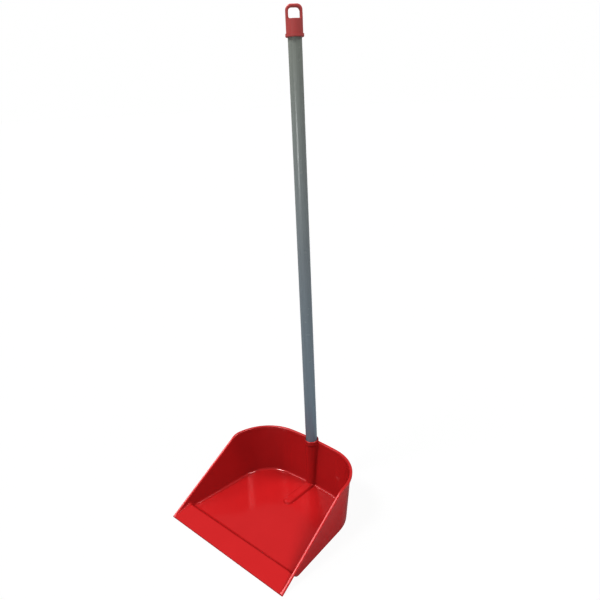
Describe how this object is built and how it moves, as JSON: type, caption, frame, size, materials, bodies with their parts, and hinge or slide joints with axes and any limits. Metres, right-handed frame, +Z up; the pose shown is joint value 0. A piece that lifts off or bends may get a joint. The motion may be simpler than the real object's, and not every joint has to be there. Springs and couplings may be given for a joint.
{
  "type": "long-handled dustpan",
  "caption": "Moulded dustpan with a ridged lip, rolled rim and a back socket that holds an upright plastic-sleeved steel handle topped by a cap with a hanging loop.",
  "frame": {"origin": "on the ground, at the middle of the footprint", "axes": "+X across the mouth, +Y from the lip to the back wall, +Z up along the handle"},
  "size_m": [0.2992, 0.2691, 0.9135],
  "materials": {
    "pan_plastic": "glossy moulded red polypropylene",
    "tube_steel": "plain rolled steel tube",
    "sleeve_plastic": "satin grey plastic sleeve",
    "plug_plastic": "matt black polyethylene",
    "cap_plastic": "satin moulded red polypropylene"
  },
  "bodies": {
    "pan": {"pan": "pan_plastic"},
    "handle": {"handle_tube": "tube_steel", "handle_sleeve": "sleeve_plastic", "foot_plug": "plug_plastic", "hanging_cap": "cap_plastic"}
  },
  "joints": [
    {"name": "handle_pull", "type": "slide", "parent": "pan", "child": "handle", "axis": [0, 0, 1], "range_m": [0, 0.12]}
  ]
}
